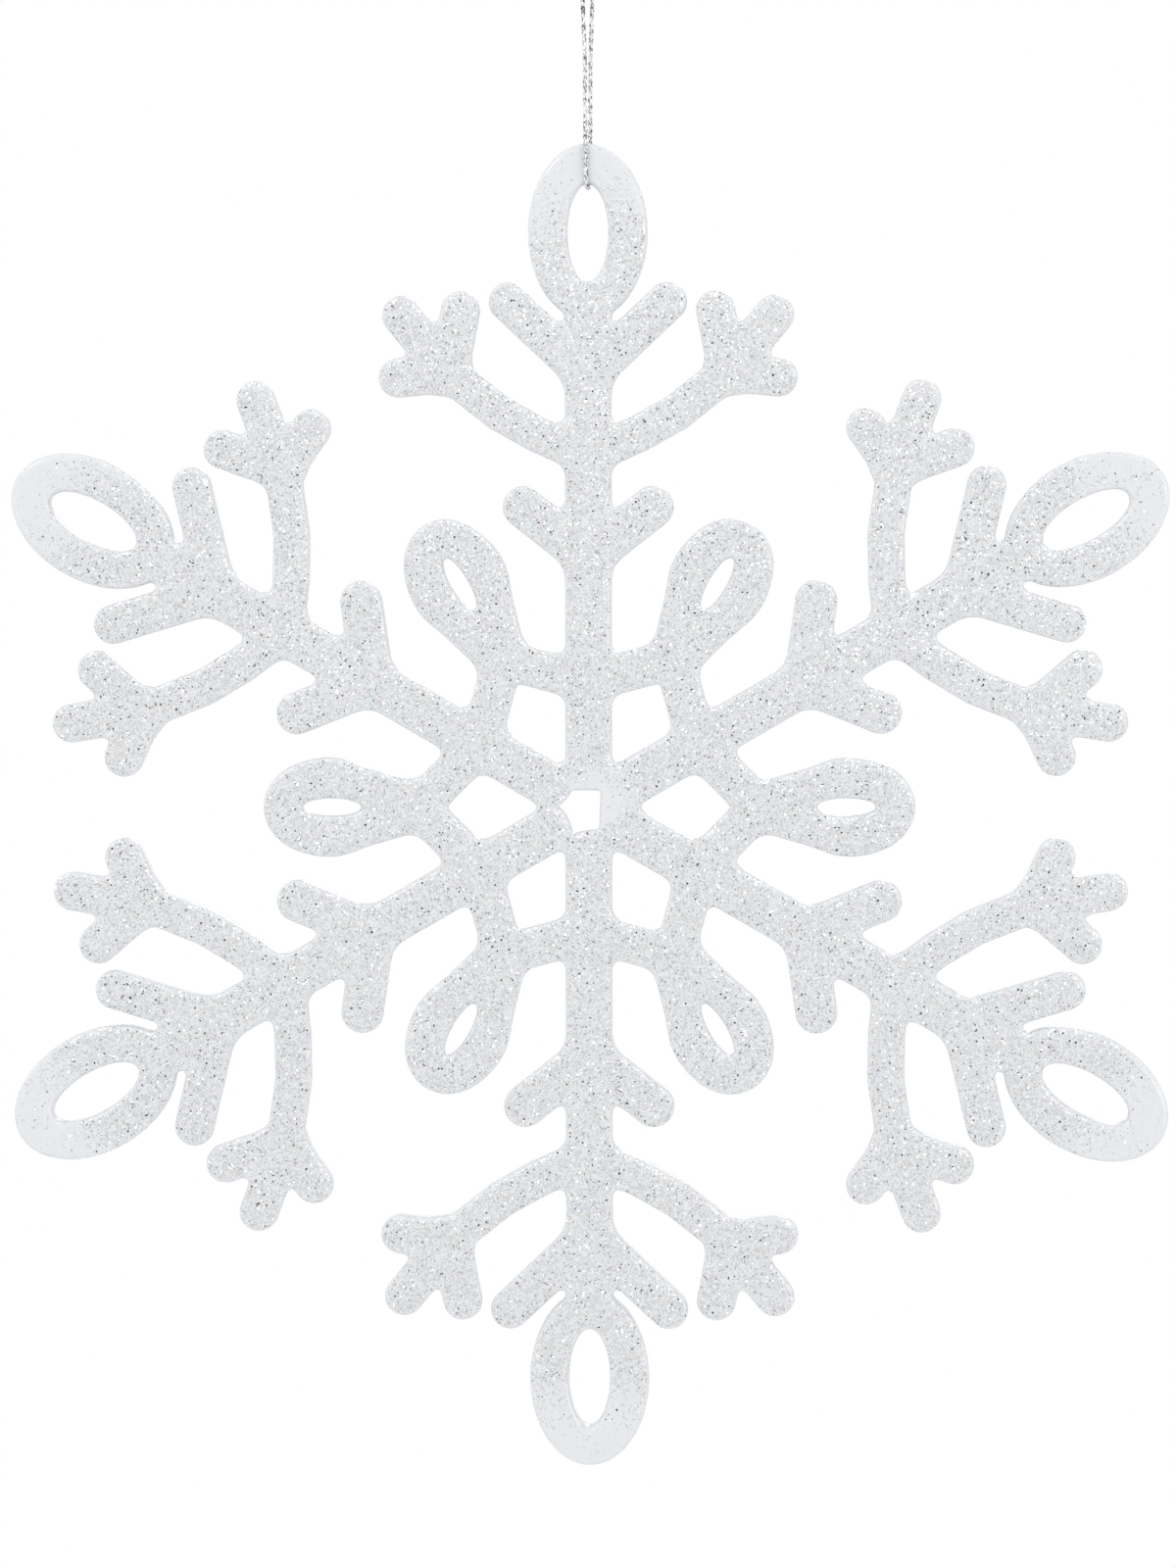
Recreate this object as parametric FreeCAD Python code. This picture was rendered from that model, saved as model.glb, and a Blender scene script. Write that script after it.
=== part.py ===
"""A hanging snowflake star: one moulding of translucent plastic, a coat of glitter on each side of it, and a
loop of metallic cord that passes through the star's top eye and is tied in a knot above the hook.

Millimetres, +Z up. The star lies in the XZ plane with its front to -Y. The origin is the point where a hook
carries the loop: inside the top of the cord loop, right under the knot."""

import FreeCAD
import Part

import math
import os

# Moulding
REACH = 150.0  # from the centre of the star to the tip of each outer loop
THICKNESS = 5.0
EDGE_STEP = 1.0  # the face layers are this much narrower all round, and this thick
ARMS = 6

# Strokes of one arm, in its own plane: u across the arm, v along it from the centre of the star
SPINE_WIDTH = 10.6
SHORT_TWIG_ROOT = 56.5
SHORT_TWIG_TIP = (14.6, 68.0)
SHORT_TWIG_WIDTH = 9.6
BRANCH_PATH = [(0.0, 80.0), (5.0, 81.7), (11.0, 84.3), (20.0, 89.3), (31.5, 98.4)]
BRANCH_WIDTH = 8.4
FINGER_TIPS = [(28.9, 112.4), (42.2, 111.4), (43.0, 97.3)]
FINGER_WIDTH = 8.9
LONG_TWIG_ROOT = 97.4
LONG_TWIG_TIP = (18.0, 114.4)
LONG_TWIG_WIDTH = 8.9

# Outer loop at the tip of each arm, and the eye in it
LOOP_LENGTH = 39.8
LOOP_WIDTH = 27.1
EYE_LENGTH = 22.0
EYE_WIDTH = 9.2
EYE_WALL = 9.1  # plastic between the eye and the tip of the loop

# Petals between the arms, and the bars that join each petal to its two arms
PETAL_REACH = 74.0
PETAL_WIDTH = 21.8
PETAL_LENGTH = 26.0  # of the oval that a petal ends in
PETAL_NECK = 40.0
PETAL_NECK_WIDTH = 11.8
PETAL_FLANK_WIDTH = 18.9  # half way between the neck and the widest part
PETAL_EYE = 58.6
PETAL_EYE_LENGTH = 13.4
PETAL_EYE_WIDTH = 3.9
BAR_WIDTH = 9.1
BAR_TOP = 38.8  # where the two bars of a petal cross its axis
BAR_SLOPE = 45.0  # degrees below the horizontal, with the petal upright

# Open centre, whose five corners are uneven, and how far the side after each corner bows into it
CENTRE_CORNERS = [(-3.9, 3.8), (2.7, 3.8), (2.3, -5.2), (-3.7, -6.2), (-7.1, 0.3)]
CENTRE_BOWS = [0.0, 0.0, 0.4, 0.9, 0.5]

# Glitter coats
COAT_THICKNESS = 0.35
COAT_MARGIN = 1.2  # bare rim between the outline and the coat

# Cord
CORD_DIAMETER = 1.1
CORD_GAP = 0.2  # between the cord and what turns past it
HANG_DROP = 56.0  # from the hook down to the axis of the cord in the eye
SHOULDER_DROP = 40.0  # from the hook down to where the legs have spread over the loop
MEETING_DROP = 26.0  # from the hook down to where the two legs of the cord lie side by side
HOOK_DROP = 2.4  # from the origin down to where the legs pass the hook's middle
SEAT_OFFSET = 0.2  # how far each leg stands to its own side in the eye
SHOULDER_OFFSET = 0.45
SEAT_RISE = 1.6  # the turn round the edge of the eye starts this far up the leg
SEAT_RUN_IN = 1.0  # and ends this far in from it
ARC_SHARE = 0.45  # of the shorter run beside a corner, which its arc takes
LEG_GAP = 0.06  # between the two legs where they lie side by side
TWIST_GAP = 0.1  # between the parts of the cord above and below the meeting
HOOK_DIAMETER = 2.0
HOOK_GAP = 0.05

# Knot, and the two cut ends that stand out of it
KNOT_LEG_GAP = 0.5  # between the two legs where they leave the knot
KNOT_WIDTH = 4.6
KNOT_HEIGHT = 4.4
KNOT_ROUND = 1.3
TAIL_LENGTH = 9.0
TAIL_LEAN = 16.0  # degrees from upright

UP = FreeCAD.Vector(0, 0, 1)
ORIGIN = FreeCAD.Vector(0, 0, 0)


def point(u, v):
    return FreeCAD.Vector(u, v, 0)


def face_of(edges):
    return Part.Face(Part.Wire(edges))


def both_sides(faces):
    return faces + [face.mirror(ORIGIN, FreeCAD.Vector(1, 0, 0)) for face in faces]


def spun(shape, degrees):
    turned = shape.copy()
    turned.rotate(ORIGIN, UP, degrees)
    return turned


def stroke(start, end, width):
    """A straight stroke with round ends."""
    a, b = point(*start), point(*end)
    forward = (b - a).normalize() * (width / 2)
    side = FreeCAD.Vector(-forward.y, forward.x, 0)
    edges = [
        Part.makeLine(a + side, b + side),
        Part.Arc(b + side, b + forward, b - side).toShape(),
        Part.makeLine(b - side, a - side),
        Part.Arc(a - side, a - forward, a + side).toShape(),
    ]
    return face_of(edges)


def oval(v, width, length):
    """An ellipse centred on the axis at v, longer along it."""
    face = face_of([Part.Ellipse(ORIGIN, length / 2, width / 2).toShape()])
    face.rotate(ORIGIN, UP, 90)
    face.translate(point(0, v))
    return face


def arm_faces(inset):
    """The strokes of one arm, each narrower by the inset on every side."""
    loop_centre = REACH - LOOP_LENGTH / 2
    spine_width = SPINE_WIDTH - 2 * inset
    spine = Part.makePlane(spine_width, loop_centre, point(-spine_width / 2, 0))
    loop = oval(loop_centre, LOOP_WIDTH - 2 * inset, LOOP_LENGTH - 2 * inset)
    branch = zip(BRANCH_PATH, BRANCH_PATH[1:])
    side = [stroke((0, SHORT_TWIG_ROOT), SHORT_TWIG_TIP, SHORT_TWIG_WIDTH - 2 * inset)]
    side += [stroke(a, b, BRANCH_WIDTH - 2 * inset) for a, b in branch]
    side += [stroke(BRANCH_PATH[-1], tip, FINGER_WIDTH - 2 * inset) for tip in FINGER_TIPS]
    side += [stroke((0, LONG_TWIG_ROOT), LONG_TWIG_TIP, LONG_TWIG_WIDTH - 2 * inset)]
    return [spine, loop] + both_sides(side)


def petal_faces(inset):
    """One petal, upright: its oval end, the taper down to its neck, and the two bars below."""
    widest = PETAL_REACH - PETAL_LENGTH / 2
    end = oval(widest, PETAL_WIDTH - 2 * inset, PETAL_LENGTH - 2 * inset)
    right = [
        point(PETAL_WIDTH / 2 - inset, widest),
        point(PETAL_FLANK_WIDTH / 2 - inset, (widest + PETAL_NECK) / 2),
        point(PETAL_NECK_WIDTH / 2 - inset, PETAL_NECK),
    ]
    left = [point(-corner.x, corner.y) for corner in reversed(right)]
    taper = face_of(
        [
            Part.Arc(*right).toShape(),
            Part.makeLine(right[-1], left[0]),
            Part.Arc(*left).toShape(),
            Part.makeLine(left[-1], right[0]),
        ]
    )
    down, over = math.sin(math.radians(BAR_SLOPE)), math.cos(math.radians(BAR_SLOPE))
    length = BAR_TOP / (down + over / math.tan(math.pi / ARMS))
    foot = (length * over, BAR_TOP - length * down)
    bar = stroke((0, BAR_TOP), foot, BAR_WIDTH - 2 * inset)
    return [end, taper] + both_sides([bar])


def centre_hole(inset):
    corners = [point(*corner) for corner in CENTRE_CORNERS]
    sides = []
    for a, b, bow in zip(corners, corners[1:] + corners[:1], CENTRE_BOWS):
        inward = (b - a).cross(UP).normalize()
        middle = (a + b) * 0.5 + inward * bow
        sides.append(Part.Arc(a, middle, b).toShape() if bow else Part.makeLine(a, b))
    hole = face_of(sides)
    return hole.makeOffset2D(inset) if inset else hole


def eye_centre():
    return REACH - EYE_WALL - EYE_LENGTH / 2


def layer(inset, height, base):
    """The star's outline, narrower by the inset, as a slab that starts at the base height."""
    rise = UP * height
    step = 360 / ARMS
    eye = oval(eye_centre(), EYE_WIDTH + 2 * inset, EYE_LENGTH + 2 * inset)
    petal_eye = oval(PETAL_EYE, PETAL_EYE_WIDTH + 2 * inset, PETAL_EYE_LENGTH + 2 * inset)
    arm = [face.extrude(rise) for face in arm_faces(inset)]
    petal = [face.extrude(rise) for face in petal_faces(inset)]
    arm = arm[0].fuse(arm[1:]).removeSplitter()
    petal = petal[0].fuse(petal[1:]).removeSplitter()
    sectors = [spun(arm, i * step) for i in range(ARMS)]
    sectors += [spun(petal, (i + 0.5) * step) for i in range(ARMS)]
    holes = [spun(eye, i * step) for i in range(ARMS)]
    holes += [spun(petal_eye, (i + 0.5) * step) for i in range(ARMS)]
    holes.append(centre_hole(inset))
    slab = sectors[0].fuse(sectors[1:]).cut([hole.extrude(rise) for hole in holes]).removeSplitter()
    slab.translate(UP * base)
    return slab


def star_centre():
    """Height of the middle of the star, so that the cord's seat is right under the hook."""
    top_of_eye = eye_centre() + EYE_LENGTH / 2
    return -HANG_DROP - (top_of_eye - CORD_DIAMETER / 2 - CORD_GAP)


def upright(shape):
    """Stands a flat shape up in the XZ plane: what was above the plane comes to the front."""
    placed = shape.copy()
    placed.rotate(ORIGIN, FreeCAD.Vector(1, 0, 0), 90)
    placed.translate(UP * star_centre())
    return placed


def snowflake_moulding():
    core_height = THICKNESS - 2 * EDGE_STEP
    core = layer(0, core_height, -core_height / 2)
    face_layer = layer(EDGE_STEP, EDGE_STEP, core_height / 2)
    back_layer = face_layer.copy()
    back_layer.translate(UP * -(core_height + EDGE_STEP))
    return upright(core.fuse([face_layer, back_layer]).removeSplitter())


def glitter_coats():
    front = layer(COAT_MARGIN, COAT_THICKNESS, THICKNESS / 2)
    back = front.copy()
    back.translate(UP * -(THICKNESS + COAT_THICKNESS))
    return upright(front), upright(back)


def leg_depth():
    """How far a leg of the cord stands in front of the middle of the star, or behind it."""
    return THICKNESS / 2 + COAT_THICKNESS + CORD_GAP + CORD_DIAMETER / 2


def meeting_offset():
    return (CORD_DIAMETER + LEG_GAP) / 2


def knot_offset():
    return (CORD_DIAMETER + KNOT_LEG_GAP) / 2


def saddle_points():
    """Down the front, through the eye and up the back, between the two points where the legs meet."""
    depth = leg_depth()
    front = [
        FreeCAD.Vector(-meeting_offset(), 0, -MEETING_DROP),
        FreeCAD.Vector(-SHOULDER_OFFSET, -depth, -SHOULDER_DROP),
        FreeCAD.Vector(-SEAT_OFFSET, -depth, -HANG_DROP + SEAT_RISE),
        FreeCAD.Vector(-SEAT_OFFSET, -depth + SEAT_RUN_IN, -HANG_DROP),
    ]
    back = [FreeCAD.Vector(-corner.x, -corner.y, corner.z) for corner in reversed(front)]
    return front + back


def leg_points(side):
    """One upper leg, from where the legs meet up past the hook to the knot."""
    hook_offset = (HOOK_DIAMETER + CORD_DIAMETER) / 2 + HOOK_GAP
    return [
        FreeCAD.Vector(side * meeting_offset(), 0, -MEETING_DROP),
        FreeCAD.Vector(side * hook_offset, 0, -HOOK_DROP),
        FreeCAD.Vector(side * knot_offset(), 0, 0),
    ]


def cord_path(points):
    """Straight runs joined by tangent arcs, each as large as its two runs allow."""
    edges = []
    start = points[0]
    for before, corner, after in zip(points, points[1:], points[2:]):
        inward, outward = before - corner, after - corner
        reach = ARC_SHARE * min(inward.Length, outward.Length)
        half_turn = (math.pi - inward.getAngle(outward)) / 2
        radius = reach / math.tan(half_turn)
        inward.normalize()
        outward.normalize()
        entry, leave = corner + inward * reach, corner + outward * reach
        to_middle = radius / math.cos(half_turn) - radius
        middle = corner + (inward + outward).normalize() * to_middle
        edges += [Part.makeLine(start, entry), Part.Arc(entry, middle, leave).toShape()]
        print("cord radius", round(radius, 2), "at", [round(c, 1) for c in corner])
        start = leave
    edges.append(Part.makeLine(start, points[-1]))
    return Part.Wire(edges)


def longer(points, extra):
    """The same route with its first and last runs longer."""
    first = points[0] + (points[0] - points[1]).normalize() * extra
    last = points[-1] + (points[-1] - points[-2]).normalize() * extra
    return [first] + points[1:-1] + [last]


def cord_tube(name, points, low, high):
    """A tube along the route, cut level at its two ends between the two heights."""
    path = cord_path(longer(points, CORD_DIAMETER))
    start = path.Vertexes[0].Point
    end = Part.makeCircle(CORD_DIAMETER / 2, start, path.Edges[0].tangentAt(path.Edges[0].FirstParameter))
    tube = path.makePipeShell([Part.Wire([end])], True, False)
    section = math.pi * CORD_DIAMETER**2 / 4
    print(name, "volume over section x length", round(tube.Volume / (section * path.Length), 4))
    span = 4 * SHOULDER_DROP
    level = Part.makeBox(span, span, high - low, FreeCAD.Vector(-span / 2, -span / 2, low))
    tube = tube.common(level).Solids[0]
    print(name, "length", round(tube.Volume / section, 2))
    return tube


def cord_knot():
    knot = Part.makeCylinder(KNOT_WIDTH / 2, KNOT_HEIGHT)
    return knot.makeFillet(KNOT_ROUND, [edge for edge in knot.Edges if len(edge.Vertexes) == 1])


def cord_tails():
    """The two cut ends of the cord, standing out of the top of the knot."""
    tails = []
    for side in (-1, 1):
        lean = math.radians(side * TAIL_LEAN)
        base = FreeCAD.Vector(side * knot_offset(), 0, KNOT_HEIGHT)
        along = FreeCAD.Vector(math.sin(lean), 0, math.cos(lean))
        sunk = base - along * CORD_DIAMETER
        tail = Part.makeCylinder(CORD_DIAMETER / 2, TAIL_LENGTH + CORD_DIAMETER, sunk, along)
        tails.append(tail.cut(cord_knot()))
    return Part.makeCompound([tail.Solids[0] for tail in tails])


def cord_sections():
    """The saddle and the two upper legs of the one cord."""
    top_of_saddle = -MEETING_DROP - TWIST_GAP / 2
    foot_of_leg = -MEETING_DROP + TWIST_GAP / 2
    sections = {"cord_saddle": cord_tube("cord_saddle", saddle_points(), -2 * HANG_DROP, top_of_saddle)}
    for side, name in [(-1, "cord_left_leg"), (1, "cord_right_leg")]:
        sections[name] = cord_tube(name, leg_points(side), foot_of_leg, 0)
    return sections


def nodes():
    front, back = glitter_coats()
    star = {
        "snowflake_moulding": snowflake_moulding(),
        "front_glitter_coat": front,
        "back_glitter_coat": back,
    }
    return star | cord_sections() | {"cord_knot": cord_knot(), "cord_tails": cord_tails()}


os.makedirs("parts", exist_ok=True)
for name, shape in nodes().items():
    print(name, "solids", len(shape.Solids), "valid", shape.isValid(), "volume", round(shape.Volume, 1))
    shape.exportStep(f"parts/{name}.step")
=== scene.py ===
# %% [markdown]
# # A glittered snowflake on a metallic cord
#
# The real object is one flat moulding of milky plastic, a coat of clear adhesive full of glitter on
# each side, and a thin silver cord through its top eye. Every size comes from the engineering model,
# which is loaded first and stays as it is: this file gives it its finished surfaces.

# %% Load the engineering model
import math

import bmesh
import bpy
import numpy as np
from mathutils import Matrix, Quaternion, Vector, noise
from mathutils.geometry import delaunay_2d_cdt


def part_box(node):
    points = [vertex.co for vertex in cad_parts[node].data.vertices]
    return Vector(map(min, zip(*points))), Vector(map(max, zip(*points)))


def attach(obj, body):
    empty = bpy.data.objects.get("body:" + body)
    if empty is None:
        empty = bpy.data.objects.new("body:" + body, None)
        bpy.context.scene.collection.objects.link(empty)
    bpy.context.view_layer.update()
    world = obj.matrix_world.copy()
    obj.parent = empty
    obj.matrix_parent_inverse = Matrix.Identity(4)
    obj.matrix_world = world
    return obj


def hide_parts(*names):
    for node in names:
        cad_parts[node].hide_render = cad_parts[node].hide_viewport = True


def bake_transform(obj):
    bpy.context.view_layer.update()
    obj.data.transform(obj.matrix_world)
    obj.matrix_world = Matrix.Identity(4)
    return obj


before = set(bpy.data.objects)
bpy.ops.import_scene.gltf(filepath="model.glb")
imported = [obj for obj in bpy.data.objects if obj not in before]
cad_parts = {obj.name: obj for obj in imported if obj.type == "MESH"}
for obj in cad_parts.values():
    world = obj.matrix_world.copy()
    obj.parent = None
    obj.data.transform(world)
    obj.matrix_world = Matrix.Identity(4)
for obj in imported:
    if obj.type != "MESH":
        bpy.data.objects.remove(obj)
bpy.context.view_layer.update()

moulding_low, moulding_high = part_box("snowflake_moulding")
coat_low, coat_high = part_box("front_glitter_coat")
MM = 0.001
CENTRE = (moulding_low + moulding_high) / 2
REACH = (moulding_high.z - moulding_low.z) / 2 / MM
THICKNESS = (moulding_high.y - moulding_low.y) / MM
COAT = (coat_high.y - coat_low.y) / MM
print(f"star: reach {REACH:.1f} mm, thickness {THICKNESS:.1f} mm, coat {COAT:.2f} mm")

# %% [markdown]
# ## Colours, nodes and meshes
# Colours are written as sRGB hex, as a paint chart gives them. Blender's shaders want linear light, so
# one function turns them. A second one adds a shader or geometry node with its settings and links in
# one call: an input is given by its name, or by its number after an underscore where two inputs share
# a name. A third one makes a mesh object, and turns its faces outwards, because light and bumps read
# the wrong way on inside faces.

# %% Helpers


def colour(code):
    """A hex colour such as "E8EBEE" as linear red, green, blue and alpha."""
    channels = [int(code[i : i + 2], 16) / 255 for i in (0, 2, 4)]
    return [c / 12.92 if c <= 0.04045 else ((c + 0.055) / 1.055) ** 2.4 for c in channels] + [1.0]


def add_node(tree, kind, settings=None, **inputs):
    """A node of that kind, with a value or another node's output for each input."""
    node = tree.nodes.new(kind)
    for name, value in (settings or {}).items():
        setattr(node, name, value)
    for name, value in inputs.items():
        socket = node.inputs[int(name[1:]) if name[1:].isdigit() else name.replace("_", " ")]
        if isinstance(value, bpy.types.NodeSocket):
            tree.links.new(value, socket)
        else:
            socket.default_value = value
    return node


def new_material(name):
    """An empty material, its tree, and its Principled shader."""
    material = bpy.data.materials.new(name)
    material.use_nodes = True
    tree = material.node_tree
    tree.nodes.clear()
    shader = add_node(tree, "ShaderNodeBsdfPrincipled")
    add_node(tree, "ShaderNodeOutputMaterial", Surface=shader.outputs["BSDF"])
    return material, tree, shader


def new_piece(name, points, faces, material, smooth=True):
    """A mesh object from points in metres, with its faces turned outwards."""
    mesh = bpy.data.meshes.new(name)
    mesh.from_pydata([tuple(p) for p in points], [], [tuple(f) for f in faces])
    shell = bmesh.new()
    shell.from_mesh(mesh)
    bmesh.ops.recalc_face_normals(shell, faces=shell.faces)
    shell.to_mesh(mesh)
    shell.free()
    mesh.polygons.foreach_set("use_smooth", [smooth] * len(mesh.polygons))
    mesh.materials.append(material)
    piece = bpy.data.objects.new(name, mesh)
    bpy.context.scene.collection.objects.link(piece)
    triangles = sum(len(p.vertices) - 2 for p in mesh.polygons)
    print(f"{name}: {len(mesh.vertices)} points, {triangles} triangles")
    return piece


# %% [markdown]
# ## The camera
# The star is seen nearly square on. The camera stands two degrees above it and to its right, so the
# top and the right of the star are a little nearer, and it aims above the star's middle, to leave room
# for the cord.

# %% Camera
VIEW_HEIGHT = 356.0 * MM
AIM = CENTRE + Vector((-0.2, 0.0, 5.2)) * MM
CAMERA_DISTANCE = 1.2
CAMERA_WAY = Vector((0.036, -1.0, 0.036)).normalized()
CAMERA_ROLL = math.radians(0.1)
SENSOR = 36.0

camera_data = bpy.data.cameras.new("camera")
camera_data.sensor_width = SENSOR
camera_data.lens = SENSOR * CAMERA_DISTANCE / VIEW_HEIGHT
camera_data.clip_end = 50.0
camera = bpy.data.objects.new("camera", camera_data)
camera.location = AIM + CAMERA_WAY * CAMERA_DISTANCE
camera_turn = CAMERA_WAY.to_track_quat("Z", "Y") @ Quaternion((0, 0, 1), -CAMERA_ROLL)
camera.rotation_euler = camera_turn.to_euler()
bpy.context.scene.collection.objects.link(camera)
bpy.context.scene.camera = camera
print(f"camera lens {camera_data.lens:.0f} mm")

# %% [markdown]
# ## The route of the cord
# The cord is one length: from the knot down the left leg, over the front of the loop, through the eye,
# up the back and up the right leg to the knot. The points are the engineering model's, in mm, and the
# right leg is the left one turned half way round. A NURBS spline of order 3 with these control points
# is as smooth as a real cord. It is read from Blender as a line, and its points are then spaced
# evenly, which the braid needs.

# %% Route
CORD_STEP = 0.16 * MM
LEFT_LEG = [
    (-0.80, 0.0, 0.0),
    (-1.60, 0.0, -2.4),
    (-0.58, 0.0, -26.0),
    (-0.45, -3.6, -40.0),
    (-0.35, -3.6, -49.4),
    (-0.20, -3.6, -54.4),
    (-0.20, -2.6, -56.0),
]
RIGHT_LEG = [(-x, -y, z) for x, y, z in reversed(LEFT_LEG)]
ROUTE = [Vector(point) * MM for point in LEFT_LEG + RIGHT_LEG]


def spline_points(route, name, steps=32):
    """Points along the smooth spline of a route, read from a curve with no bevel."""
    curve = bpy.data.curves.new(name, "CURVE")
    curve.dimensions = "3D"
    curve.resolution_u = steps
    spline = curve.splines.new("NURBS")
    spline.points.add(len(route) - 1)
    for point, place in zip(spline.points, route):
        point.co = (*place, 1)
    spline.order_u = 3
    spline.use_endpoint_u = True
    holder = bpy.data.objects.new(name, curve)
    bpy.context.scene.collection.objects.link(holder)
    depsgraph = bpy.context.evaluated_depsgraph_get()
    mesh = bpy.data.meshes.new_from_object(holder.evaluated_get(depsgraph))
    points = [vertex.co.copy() for vertex in mesh.vertices]
    bpy.data.objects.remove(holder)
    bpy.data.curves.remove(curve)
    bpy.data.meshes.remove(mesh)
    return points


def path_length(points):
    """The length of a line of points."""
    return sum((b - a).length for a, b in zip(points, points[1:]))


def evenly(points, step):
    """The same line with points a step apart."""
    length = path_length(points)
    count = max(2, round(length / step))
    result, walked, i = [points[0]], 0.0, 0
    for k in range(1, count):
        target = length * k / count
        while walked + (points[i + 1] - points[i]).length < target:
            walked += (points[i + 1] - points[i]).length
            i += 1
        share = (target - walked) / (points[i + 1] - points[i]).length
        result.append(points[i].lerp(points[i + 1], share))
    return result + [points[-1]]


CORD_LINE = evenly(spline_points(ROUTE, "cord_route"), CORD_STEP)

# %% [markdown]
# ## The outline of the star as a distance
# The moulding's outline is many strokes with round ends, blended where they meet, because a mould is
# cut with a round tool and its inner corners are never sharp. Joining meshes with booleans would leave
# those corners sharp. Instead each stroke gives the distance from any place to its edge, negative
# inside, and a soft minimum joins two strokes with a fillet. One arm is enough: every place is first
# folded into one twelfth of the star.

# %% Sizes of the strokes, in mm: u across the arm and v along it, from the centre of the star
ARMS = 6
FILLET = 2.6
SPINE_WIDTH = 10.6
SHORT_TWIG = [(0.0, 56.5), (14.6, 68.0)]
SHORT_TWIG_WIDTH = 9.6
BRANCH = [(0.0, 80.0), (5.0, 81.7), (11.0, 84.3), (20.0, 89.3), (31.5, 98.4)]
BRANCH_WIDTH = 8.4
FINGER_TIPS = [(28.9, 112.4), (42.2, 111.4), (43.0, 97.3)]
FINGER_WIDTH = 8.9
FINGER_FILLET = 2.4
NOTCH_FILLET = 0.8
LONG_TWIG = [(0.0, 97.4), (18.0, 114.4)]
LONG_TWIG_WIDTH = 8.9
LOOP_SIZE = (27.1, 39.8)
EYE_SIZE = (9.2, 22.0)
EYE_WALL = 9.1
PETAL_REACH = 74.0
PETAL_SIZE = (21.8, 26.0)
PETAL_WAIST = (57.5, 10.65, 39.0, 5.5)
PETAL_EYE_SIZE = (3.9, 13.4)
PETAL_EYE_PLACE = 58.4
BAR_WIDTH = 9.1
BAR_TOP = 38.8
BAR_FOOT = (14.2, 24.6)
CENTRE_CORNERS = [(-3.9, 3.8), (2.7, 3.8), (2.3, -5.2), (-3.7, -6.2), (-7.1, 0.3)]
CENTRE_BOWS = [0.0, 0.0, 0.4, 0.9, 0.5]

# %% [markdown]
# The strokes, ovals, tapers and the hole each have their own distance. The star's distance joins them
# with fillets: a wide one where strokes meet, and a small one in the narrow notches.

# %% Distances


def to_stroke(u, v, ends, width):
    """Distance to a straight stroke with round ends."""
    (a, b), (c, d) = ends
    along = ((u - a) * (c - a) + (v - b) * (d - b)) / ((c - a) ** 2 + (d - b) ** 2)
    along = np.clip(along, 0, 1)
    return np.hypot(u - a - along * (c - a), v - b - along * (d - b)) - width / 2


def to_path(u, v, path, width):
    """Distance to a bent stroke with round ends."""
    return np.minimum.reduce([to_stroke(u, v, ends, width) for ends in zip(path, path[1:])])


def to_oval(u, v, place, size):
    """Distance to an ellipse round (0, place), right near its edge."""
    half = np.array(size) / 2
    near = np.hypot(u / half[0], (v - place) / half[1]) + 1e-9
    slope = np.hypot(u / half[0] ** 2, (v - place) / half[1] ** 2) + 1e-9
    return near * (near - 1) / slope


def to_taper(u, v, wide_at, wide, narrow_at, narrow):
    """Distance to two discs on the axis and the straight sides that join them."""
    height = wide_at - narrow_at
    sine = (wide - narrow) / height
    cosine = math.sqrt(1 - sine * sine)
    across, down = np.abs(u), wide_at - v
    place = down * cosine - across * sine
    flank = across * cosine + down * sine - wide
    end = np.where(place < 0, np.hypot(across, down) - wide, np.hypot(across, down - height) - narrow)
    return np.where((place < 0) | (place > height * cosine), end, flank)


def to_bowed_polygon(x, y, corners, bows):
    """Distance to a polygon, its corners given clockwise, with each side bowed in by so much."""
    sides = []
    for (a, b), (c, d), bow in zip(corners, corners[1:] + corners[:1], bows):
        length = math.hypot(c - a, d - b)
        share = np.clip(((x - a) * (c - a) + (y - b) * (d - b)) / length**2, 0, 1)
        outside = ((y - b) * (c - a) - (x - a) * (d - b)) / length
        sides.append(outside + 4 * bow * share * (1 - share))
    return np.maximum.reduce(sides)


def soft_min(first, second, fillet):
    """The union of two shapes, with their meeting corner filled."""
    share = np.maximum(fillet - np.abs(first - second), 0) / fillet
    return np.minimum(first, second) - share * share * fillet / 4


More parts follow.
